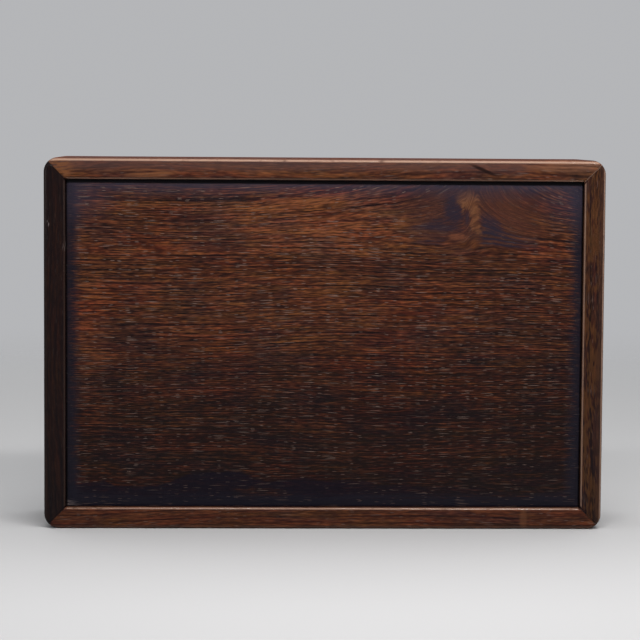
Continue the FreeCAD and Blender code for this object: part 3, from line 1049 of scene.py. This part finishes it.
class INKBOX_OT_base_panel(bpy.types.Operator):
    """Finishes the figured base panel"""

    bl_idname = "inkbox.base_panel"
    bl_label = "Base panel"

    def execute(self, context):
        sizes = context.scene.inkbox_boards
        bm = divided_copy("base_panel", sizes.panel_facet)
        wear_down(bm, sizes, BASE_PANEL_WEAR)
        material = base_panel_material(context.scene.inkbox_panel_wood)
        show(bm, "figured_base_panel", "base_panel", "body", material)
        return {"FINISHED"}


class INKBOX_OT_lid_panel(bpy.types.Operator):
    """Finishes the lid's raised panel"""

    bl_idname = "inkbox.lid_panel"
    bl_label = "Lid panel"

    def execute(self, context):
        sizes = context.scene.inkbox_boards
        look = context.scene.inkbox_panel_wood
        bm = divided_copy("lid_panel", sizes.panel_facet)
        wear_down(bm, sizes, LID_PANEL_WEAR)
        material = plain_material("lid_panel_wood", "x", look, LID_PANEL_WOOD, LID_PANEL_LEVEL)
        show(bm, "raised_lid_panel", "lid_panel", "lid", material)
        return {"FINISHED"}


class INKBOX_OT_fittings(bpy.types.Operator):
    """Finishes the partitions, the battens and the splines inside the joints"""

    bl_idname = "inkbox.fittings"
    bl_label = "Fittings inside"

    def execute(self, context):
        sizes = context.scene.inkbox_boards
        look = context.scene.inkbox_inner_wood
        for seed, (node, body, along) in enumerate(FITTINGS, FIRST_FITTING):
            bm = divided_copy(node, sizes.panel_facet)
            wear_down(bm, sizes, seed)
            material = plain_material(f"{node}_wood", along, look, seed, FITTING_LEVEL)
            show(bm, f"planed_{node}", node, body, material)
        spline_wood = plain_material("spline_wood", "x", look, SPLINE_WOOD, SPLINE_LEVEL)
        for name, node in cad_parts.items():
            if "spline" in name:
                node.data.materials.clear()
                node.data.materials.append(spline_wood)
        return {"FINISHED"}


# The floor: its fade in shares of its radius, and its weave
FLOOR_FADE = (0.25, 0.65)
FLOOR_OVERLAP = 1.05
WEAVE_PITCH = 0.8
WEAVE_CONTRAST = 0.35
WEAVE_SHADES = (0.9, 1.1)

# Each lamp: name, place, target and size in metres, its power with the share it gets, and its colour
BOX_MIDDLE = (0.0, 0.0, BOX_WIDTH / 2 * MM)
LAMPS = (
    ("ceiling_light", (0.0, 0.6, 1.8), (0.0, 0.6, 0.0), (3.0, 2.4), "ceiling_power", 1.0, (1.0, 0.99, 0.97)),
    ("key_light", (0.08, -0.38, 0.50), BOX_MIDDLE, (0.46, 0.05), "key_power", 1.0, (1.0, 0.97, 0.94)),
    ("left_light", (-0.95, -0.55, 0.40), BOX_MIDDLE, (0.05, 0.6), "fill_power", 1.0, (0.84, 0.91, 1.0)),
    ("right_light", (0.95, -0.50, 0.40), BOX_MIDDLE, (0.04, 0.6), "fill_power", 0.8, (1.0, 0.95, 0.90)),
)
ROOM_COLOUR = (0.93, 0.96, 1.0, 1.0)

# The camera: where it stands, in metres, and its yaw, pitch and roll in degrees
CAMERA_X = -0.0382
CAMERA_DISTANCE = 1.151
CAMERA_HEIGHT = 0.1907
CAMERA_TURN = (1.784, 4.427, 0.39)


def aim(place, target):
    """Turns a lamp at a place to face a target."""
    direction = Vector(target) - Vector(place)
    turn = direction.to_track_quat("-Z", "Y")
    return Matrix.Translation(place) @ turn.to_matrix().to_4x4()


def add_lamp(name, place, target, size, power, colour):
    """Adds a rectangular soft light."""
    lamp = bpy.data.lights.new(name, "AREA")
    lamp.shape = "RECTANGLE"
    lamp.size, lamp.size_y = size
    lamp.energy = power
    lamp.color = colour
    holder = bpy.data.objects.new(name, lamp)
    holder.matrix_world = aim(place, target)
    holder.visible_camera = False
    bpy.context.scene.collection.objects.link(holder)


def floor_material(stage):
    """A pale floor that fades into the backdrop far from the box."""
    finish = Finish("pale_floor")
    x, y, _ = finish.place()
    far = finish.sum("SQRT", x * x + y * y) * MM
    fade = finish.rise(far, *(stage.floor_radius * share for share in FLOOR_FADE))
    weave = finish.cloud(finish.vector(x / WEAVE_PITCH, y / WEAVE_PITCH, 0.0), 3.0, 0.7)
    shades = [[channel * shade for channel in stage.floor_colour] for shade in WEAVE_SHADES]
    cloth = finish.blend((weave - 0.5) * WEAVE_CONTRAST + 0.5, *shades)
    shader = finish.node("ShaderNodeBsdfPrincipled")
    finish.feed(cloth, shader.inputs["Base Color"])
    shader.inputs["Roughness"].default_value = 0.9
    shader.inputs["Specular IOR Level"].default_value = 0.1
    clear = finish.node("ShaderNodeBsdfTransparent")
    mix = finish.node("ShaderNodeMixShader")
    finish.feed(fade, mix.inputs[0])
    finish.tree.links.new(shader.outputs[0], mix.inputs[1])
    finish.tree.links.new(clear.outputs[0], mix.inputs[2])
    end = finish.node("ShaderNodeOutputMaterial")
    finish.tree.links.new(mix.outputs[0], end.inputs["Surface"])
    return finish.material


class INKBOX_OT_stage(bpy.types.Operator):
    """Lays the floor, hangs the lights and sets the camera"""

    bl_idname = "inkbox.stage"
    bl_label = "Stage"

    def execute(self, context):
        scene = context.scene
        stage = scene.inkbox_stage
        self.lay_floor(stage)
        self.light_room(scene, stage)
        for name, place, target, size, power, share, colour in LAMPS:
            add_lamp(name, place, target, size, getattr(stage, power) * share, colour)
        self.set_camera(scene, stage)
        scene.view_settings.view_transform = "Standard"
        return {"FINISHED"}

    def lay_floor(self, stage):
        """Lays a round floor under the box."""
        bm = bmesh.new()
        bmesh.ops.create_circle(bm, cap_ends=True, segments=96, radius=stage.floor_radius * FLOOR_OVERLAP)
        mesh = bpy.data.meshes.new("floor")
        bm.to_mesh(mesh)
        bm.free()
        mesh.materials.append(floor_material(stage))
        floor = bpy.data.objects.new("floor", mesh)
        bpy.context.scene.collection.objects.link(floor)

    def light_room(self, scene, stage):
        """Shows the backdrop to the camera and in gloss, and lights the box dimly from all round."""
        world = bpy.data.worlds.new("room")
        world.use_nodes = True
        scene.world = world
        tree = world.node_tree
        tree.nodes.clear()
        path = tree.nodes.new("ShaderNodeLightPath")
        shows = path.outputs["Is Camera Ray"]
        for kind in ("Is Glossy Ray", "Is Transmission Ray"):
            either = tree.nodes.new("ShaderNodeMath")
            either.operation = "MAXIMUM"
            tree.links.new(shows, either.inputs[0])
            tree.links.new(path.outputs[kind], either.inputs[1])
            shows = either.outputs[0]
        dim = tree.nodes.new("ShaderNodeBackground")
        dim.inputs[0].default_value = ROOM_COLOUR
        dim.inputs[1].default_value = stage.world_level
        seen = tree.nodes.new("ShaderNodeBackground")
        seen.inputs[0].default_value = (*stage.backdrop_colour, 1.0)
        mix = tree.nodes.new("ShaderNodeMixShader")
        end = tree.nodes.new("ShaderNodeOutputWorld")
        tree.links.new(shows, mix.inputs[0])
        tree.links.new(dim.outputs[0], mix.inputs[1])
        tree.links.new(seen.outputs[0], mix.inputs[2])
        tree.links.new(mix.outputs[0], end.inputs[0])

    def set_camera(self, scene, stage):
        """Stands the camera in front of the base, a little above the middle and turned slightly right."""
        lens = bpy.data.cameras.new("camera")
        lens.lens = stage.camera_lens
        lens.sensor_width = 36.0
        lens.clip_end = 50.0
        yaw, pitch, roll = (math.radians(angle) for angle in CAMERA_TURN)
        ahead = math.cos(pitch)
        forward = Vector((math.sin(yaw) * ahead, math.cos(yaw) * ahead, -math.sin(pitch)))
        level = Vector((math.cos(yaw), -math.sin(yaw), 0.0))
        upright = level.cross(forward)
        right = level * math.cos(roll) + upright * math.sin(roll)
        up = upright * math.cos(roll) - level * math.sin(roll)
        turn = Matrix((right, up, -forward)).transposed().to_4x4()
        place = Vector((CAMERA_X, CAD_LOW.y - CAMERA_DISTANCE, CAMERA_HEIGHT))
        holder = bpy.data.objects.new("camera", lens)
        holder.matrix_world = Matrix.Translation(place) @ turn
        scene.collection.objects.link(holder)
        scene.camera = holder


class INKBOX_PT_sidebar(bpy.types.Panel):
    """Lists the steps that make the box"""

    bl_idname = "INKBOX_PT_sidebar"
    bl_label = "Ink box"
    bl_space_type = "VIEW_3D"
    bl_region_type = "UI"
    bl_category = "Ink box"

    def draw(self, context):
        for operator in OPERATORS:
            self.layout.operator(operator.bl_idname)


GROUPS = {
    "inkbox_boards": BoardSizes,
    "inkbox_frame_wood": WoodFinish,
    "inkbox_panel_wood": WoodFinish,
    "inkbox_inner_wood": WoodFinish,
    "inkbox_stage": StageSizes,
}
OPERATORS = (
    INKBOX_OT_stage,
    INKBOX_OT_boards,
    INKBOX_OT_base_panel,
    INKBOX_OT_lid_panel,
    INKBOX_OT_fittings,
)
CLASSES = (BoardSizes, WoodFinish, StageSizes, *OPERATORS, INKBOX_PT_sidebar)


def register():
    """Registers every class and gives the scene its settings."""
    for kind in CLASSES:
        bpy.utils.register_class(kind)
    for name, group in GROUPS.items():
        setattr(bpy.types.Scene, name, PointerProperty(type=group))


def unregister():
    """Takes the settings and the classes away again."""
    for name in GROUPS:
        delattr(bpy.types.Scene, name)
    for kind in reversed(CLASSES):
        bpy.utils.unregister_class(kind)


def main():
    """Makes the whole scene."""
    register()
    bpy.ops.inkbox.stage()
    bpy.ops.inkbox.boards()
    bpy.ops.inkbox.base_panel()
    bpy.ops.inkbox.lid_panel()
    bpy.ops.inkbox.fittings()


if __name__ == "__main__":
    main()
